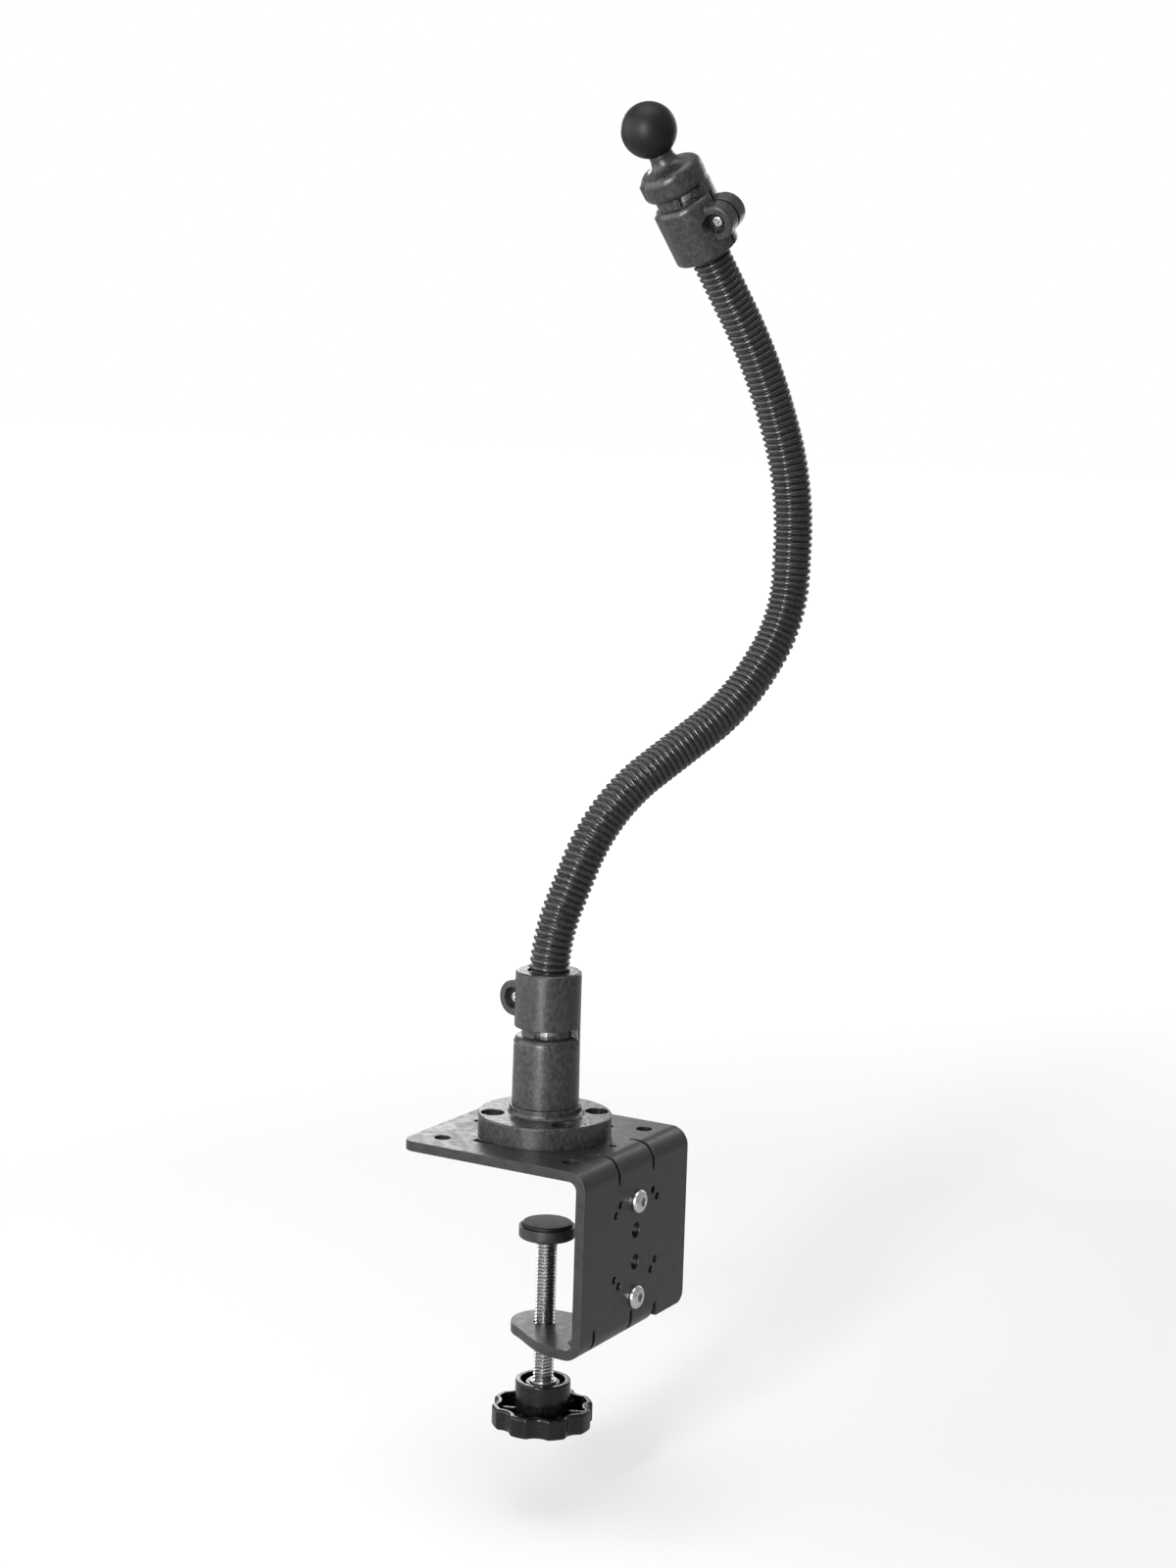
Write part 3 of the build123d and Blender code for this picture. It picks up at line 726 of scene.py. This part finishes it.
@dataclass(frozen=True)
class MountingBall:
    """Ball with the blind hole that takes the stem's core, in millimetres."""

    radius: float = 12.7
    hole_radius: float = 4.55
    hole_reach: float = 4.0
    arc_points: int = 40
    steps: int = 88

    def profile(self) -> list:
        """Draws half of the ball's section, from its far pole to the end of the hole.

        Returns:
            The (r, z) line, in metres, with the hole towards +Z.
        """
        mouth = math.asin(self.hole_radius / self.radius)
        angles = [math.pi + (mouth - math.pi) * k / self.arc_points for k in range(self.arc_points + 1)]
        arc = [(self.radius * math.sin(angle) * MM, self.radius * math.cos(angle) * MM) for angle in angles]
        hole = [(self.hole_radius * MM, -self.hole_reach * MM), (0.0, -self.hole_reach * MM)]
        return [(0.0, arc[0][1])] + arc[1:] + hole

    def build(self, shop: Workshop) -> None:
        """Turns the ball and places it at its mount.

        Args:
            shop: The loaded frame and its slots.
        """
        mount = next(m for m in shop.frame["record"]["mounts"] if m["name"] == "mounting_ball")
        turn = (-Vector(mount["axis"])).to_track_quat("Z", "Y").to_matrix().to_4x4()
        bm = turned_shape(self.profile(), self.steps)
        bmesh.ops.transform(bm, matrix=Matrix.Translation(Vector(mount["pos_m"])) @ turn, verts=bm.verts)
        new_piece("rubber_ball", bm, BALL_RUBBER, Body.MOUNT, ("mounting_ball",))


@dataclass(frozen=True)
class ScrewFeed:
    """Coarse-threaded rod with a grooved pivot at its top, its knob and the knob's bush, in millimetres."""

    pitch: float = 25.4 / 16.0
    depth: float = 0.97
    tooth: tuple = ((0.0, 0.0), (0.14, 0.0), (0.42, 1.0), (0.58, 1.0), (0.86, 0.0))
    spare_turns: int = 2
    start_turns: float = 1.5
    seat_play: float = 0.1
    pivot_radius: float = 3.0
    pivot_sink: float = 1.0
    groove_radius: float = 2.5
    knob_rounding: float = 0.45
    bush_rounding: float = 0.15
    steps: int = 36

    def build(self, shop: Workshop) -> None:
        """Cuts the rod and rounds the knob and its bush.

        Args:
            shop: The loaded frame and its slots.
        """
        self.build_rod()
        shop.round_off("clamp_knob", Body.SCREW, self.knob_rounding)
        shop.round_off("knob_bush", Body.SCREW, self.bush_rounding, finish=CORE_STEEL)

    def thread_line(self, radius: float, turns: int) -> list:
        """Draws the thread's side view: each tooth is given in shares of the pitch and of the depth.

        Args:
            radius: Radius of the crests.
            turns: Number of turns.

        Returns:
            The (r, z) line, in metres.
        """
        root = radius - self.depth
        line = [((root + share * self.depth) * MM, (turn + place) * self.pitch * MM)
                for turn in range(turns) for place, share in self.tooth]
        return line + [(root * MM, turns * self.pitch * MM)]

    def pivot_line(self, foot: float, top: float) -> list:
        """Draws the pivot's side view, with the groove that its retaining ring sits in.

        Args:
            foot: Height of the thread's end, in metres.
            top: Height of the rod's top, in metres.

        Returns:
            The (r, z) line, in metres, from axis to axis.
        """
        ring_low, ring_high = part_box("pad_ring")
        start, wide, narrow = foot - self.pivot_sink * MM, self.pivot_radius * MM, self.groove_radius * MM
        return [(0.0, start), (wide, start), (wide, ring_low.z), (narrow, ring_low.z), (narrow, ring_high.z),
                (wide, ring_high.z), (wide, top), (0.0, top)]

    def build_rod(self) -> None:
        """Cuts the thread, closes its ends, and adds the pivot."""
        low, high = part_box("clamp_rod")
        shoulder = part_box("pad_cup")[0].z - self.seat_play * MM
        radius = (high.x - low.x) / 2.0 / MM
        turns = math.ceil((shoulder - low.z) / MM / self.pitch) + self.spare_turns
        bm = turned_shape(self.thread_line(radius, turns), self.steps, rise=self.pitch * MM)
        bmesh.ops.translate(bm, verts=bm.verts, vec=(0.0, 0.0, low.z - self.start_turns * self.pitch * MM))
        for height, upwards in ((shoulder, 1.0), (low.z, -1.0)):
            geometry = bm.verts[:] + bm.edges[:] + bm.faces[:]
            cut = bmesh.ops.bisect_plane(bm, geom=geometry, plane_co=(0.0, 0.0, height),
                                         plane_no=(0.0, 0.0, upwards), clear_outer=True)
            bmesh.ops.edgeloop_fill(bm, edges=[e for e in cut["geom_cut"] if isinstance(e, bmesh.types.BMEdge)])
        bmesh.ops.recalc_face_normals(bm, faces=bm.faces)
        add_shape(bm, turned_shape(self.pivot_line(shoulder, high.z), self.steps))
        bmesh.ops.translate(bm, verts=bm.verts, vec=((low.x + high.x) / 2.0, (low.y + high.y) / 2.0, 0.0))
        new_piece("threaded_rod", bm, ROD_STEEL, Body.SCREW, ("clamp_rod",))


@dataclass(frozen=True)
class PressurePad:
    """Swivel pad at the rod's top: metal cup, rubber face and retaining ring, with roundings in millimetres."""

    rounding: float = 0.25

    def build(self, shop: Workshop) -> None:
        """Rounds the cup and its face, and dresses the ring.

        Args:
            shop: The loaded frame and its slots.
        """
        shop.round_off("pad_cup", Body.PAD, self.rounding)
        shop.round_off("pad_face", Body.PAD, self.rounding)
        shop.dress("pad_ring")


# Studio


def camera_axes(azimuth: float, pitch: float, roll: float) -> tuple[Vector, Vector, Vector]:
    """Axes of a camera that looks along +Y at azimuth 0, turned towards -X, pitched down and rolled.

    Args:
        azimuth: Turn about Z, in degrees.
        pitch: Downward tilt, in degrees.
        roll: Turn about the line of sight, in degrees.

    Returns:
        Its right, up and forward directions.
    """
    az, tilt, turn = (math.radians(v) for v in (azimuth, pitch, roll))
    level = Vector((-math.sin(az), math.cos(az), 0.0))
    right = Vector((math.cos(az), math.sin(az), 0.0))
    forward = level * math.cos(tilt) - Vector((0.0, 0.0, math.sin(tilt)))
    up = right.cross(forward)
    return (right * math.cos(turn) + up * math.sin(turn), up * math.cos(turn) - right * math.sin(turn), forward)


@dataclass(frozen=True)
class Lamp:
    """Soft rectangular lamp that faces the arm's middle.

    The bearing is in degrees to the right of the camera, seen from the object, the height in degrees above the
    horizon, the distance and size in metres, and the power in watts.
    """

    name: str
    bearing: float
    height: float
    distance: float
    size: tuple
    power: float


LAMPS = (
    Lamp("key_softbox", -24.0, 4.0, 2.2, (0.26, 1.8), 74.0),
    Lamp("left_wall", -80.0, 4.0, 2.0, (2.9, 2.6), 56.0),
    Lamp("top_panel", -40.0, 80.0, 1.9, (1.5, 1.5), 20.0),
    Lamp("back_panel", -166.0, 15.0, 2.4, (1.0, 0.5), 13.0),
    Lamp("right_rim", 152.0, 10.0, 2.4, (0.5, 1.9), 9.0),
)


@dataclass(frozen=True)
class Studio:
    """Camera, lamps, pale floor and white world.

    The floor's gap under the resting object is the knob's travel and a little more. Its glow leaves room for the
    lamps' light near the object, so that the shadow shows, and rises to white further away.
    """

    camera_place: tuple = (0.6581, -1.1134, 0.3645)
    azimuth: float = 29.906
    pitch: float = 8.613
    roll: float = 1.706
    focal_pixels: float = 2938.9
    sensor: float = 36.0
    view_end: float = 50.0
    arm_middle: tuple = (0.03, 0.06, 0.17)
    floor_gap: float = 0.042
    floor_reach: float = 12.0
    floor_colour: tuple = (0.6, 0.6, 0.6, 1.0)
    floor_roughness: float = 0.9
    near_glow: float = 0.34
    glow_reach: tuple = (0.6, 3.0)

    def build(self) -> None:
        """Makes the camera, the lamps and the stage."""
        self.make_camera()
        self.make_lamps()
        self.make_stage()
        bpy.context.scene.view_settings.view_transform = "Standard"

    def make_camera(self) -> None:
        """Places the camera as the photograph's own was."""
        data = bpy.data.cameras.new("photo_camera")
        data.sensor_width = self.sensor
        data.lens = self.focal_pixels / PHOTO_HEIGHT * self.sensor
        data.clip_end = self.view_end
        camera = bpy.data.objects.new("photo_camera", data)
        right, up, forward = camera_axes(self.azimuth, self.pitch, self.roll)
        turn = Matrix((right, up, -forward)).transposed().to_4x4()
        camera.matrix_world = Matrix.Translation(Vector(self.camera_place)) @ turn
        bpy.context.scene.collection.objects.link(camera)
        bpy.context.scene.camera = camera

    def make_lamps(self) -> None:
        """Hangs every lamp where it faces the arm's middle."""
        target = Vector(self.arm_middle)
        for lamp in LAMPS:
            angle = math.radians(self.azimuth - 90.0 + lamp.bearing)
            rise = math.radians(lamp.height)
            away = Vector((math.cos(angle) * math.cos(rise), math.sin(angle) * math.cos(rise), math.sin(rise)))
            data = bpy.data.lights.new(lamp.name, "AREA")
            data.shape = "RECTANGLE"
            data.size, data.size_y = lamp.size
            data.energy = lamp.power
            hung = bpy.data.objects.new(lamp.name, data)
            facing = away.to_track_quat("Z", "Y").to_matrix().to_4x4()
            hung.matrix_world = Matrix.Translation(target + away * lamp.distance) @ facing
            bpy.context.scene.collection.objects.link(hung)

    def make_stage(self) -> None:
        """Lays the floor below the knob's lowest pose, and makes the world."""
        bm = bmesh.new()
        bmesh.ops.create_grid(bm, x_segments=1, y_segments=1, size=self.floor_reach)
        low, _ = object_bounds()
        bmesh.ops.translate(bm, verts=bm.verts, vec=(0.0, 0.0, low.z - self.floor_gap))
        mesh = bpy.data.meshes.new("floor")
        bm.to_mesh(mesh)
        bm.free()
        floor = bpy.data.objects.new("floor", mesh)
        bpy.context.scene.collection.objects.link(floor)
        mesh.materials.append(self.floor_material())
        floor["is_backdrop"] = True
        self.make_world()

    def floor_material(self) -> bpy.types.Material:
        """Makes the pale floor, which keeps the object's shadow.

        Returns:
            The floor's material.
        """
        made = bpy.data.materials.new("pale_floor")
        made.use_nodes = True
        build = NodeBuilder(made.node_tree)
        shader = made.node_tree.nodes["Principled BSDF"]
        shader.inputs["Base Color"].default_value = self.floor_colour
        shader.inputs["Roughness"].default_value = self.floor_roughness
        shader.inputs["Emission Color"].default_value = (1.0, 1.0, 1.0, 1.0)
        length = build.add("ShaderNodeVectorMath", operation="LENGTH")
        build.join(build.add("ShaderNodeTexCoord").outputs["Object"], length.inputs[0])
        lift = build.remap(length.outputs["Value"], *self.glow_reach, self.near_glow, 1.0)
        seen = build.add("ShaderNodeMath", operation="MULTIPLY")
        build.join(build.backdrop_strength(FLOOR_MIRRORED, 0.0), seen.inputs[0])
        build.join(lift, seen.inputs[1])
        build.join(seen.outputs[0], shader.inputs["Emission Strength"])
        return made

    @staticmethod
    def make_world() -> None:
        """Makes the world: white to the camera and through glass, dimmer in mirrored rays, and dim as a light."""
        world = bpy.data.worlds.new("white_room")
        bpy.context.scene.world = world
        world.use_nodes = True
        build = NodeBuilder(world.node_tree)
        back = world.node_tree.nodes["Background"]
        back.inputs["Color"].default_value = (1.0, 1.0, 1.0, 1.0)
        build.join(build.backdrop_strength(WORLD_MIRRORED, WORLD_FILL), back.inputs["Strength"])


def main() -> None:
    """Loads the frame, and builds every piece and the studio."""
    logging.basicConfig(level=logging.INFO, format="%(name)s %(message)s")
    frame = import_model()
    shop = Workshop(frame, {part["node"]: part["material_slot"] for part in frame["record"]["subparts"]})
    assemblies = (ClampBracket(), RoundBase(), SplitSocket(ArmEnd.LOWER), Gooseneck(), SplitSocket(ArmEnd.UPPER),
                  MountingBall(), PressurePad(), ScrewFeed())
    for assembly in assemblies:
        assembly.build(shop)
    Studio().build()
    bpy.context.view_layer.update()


if __name__ == "__main__":
    main()
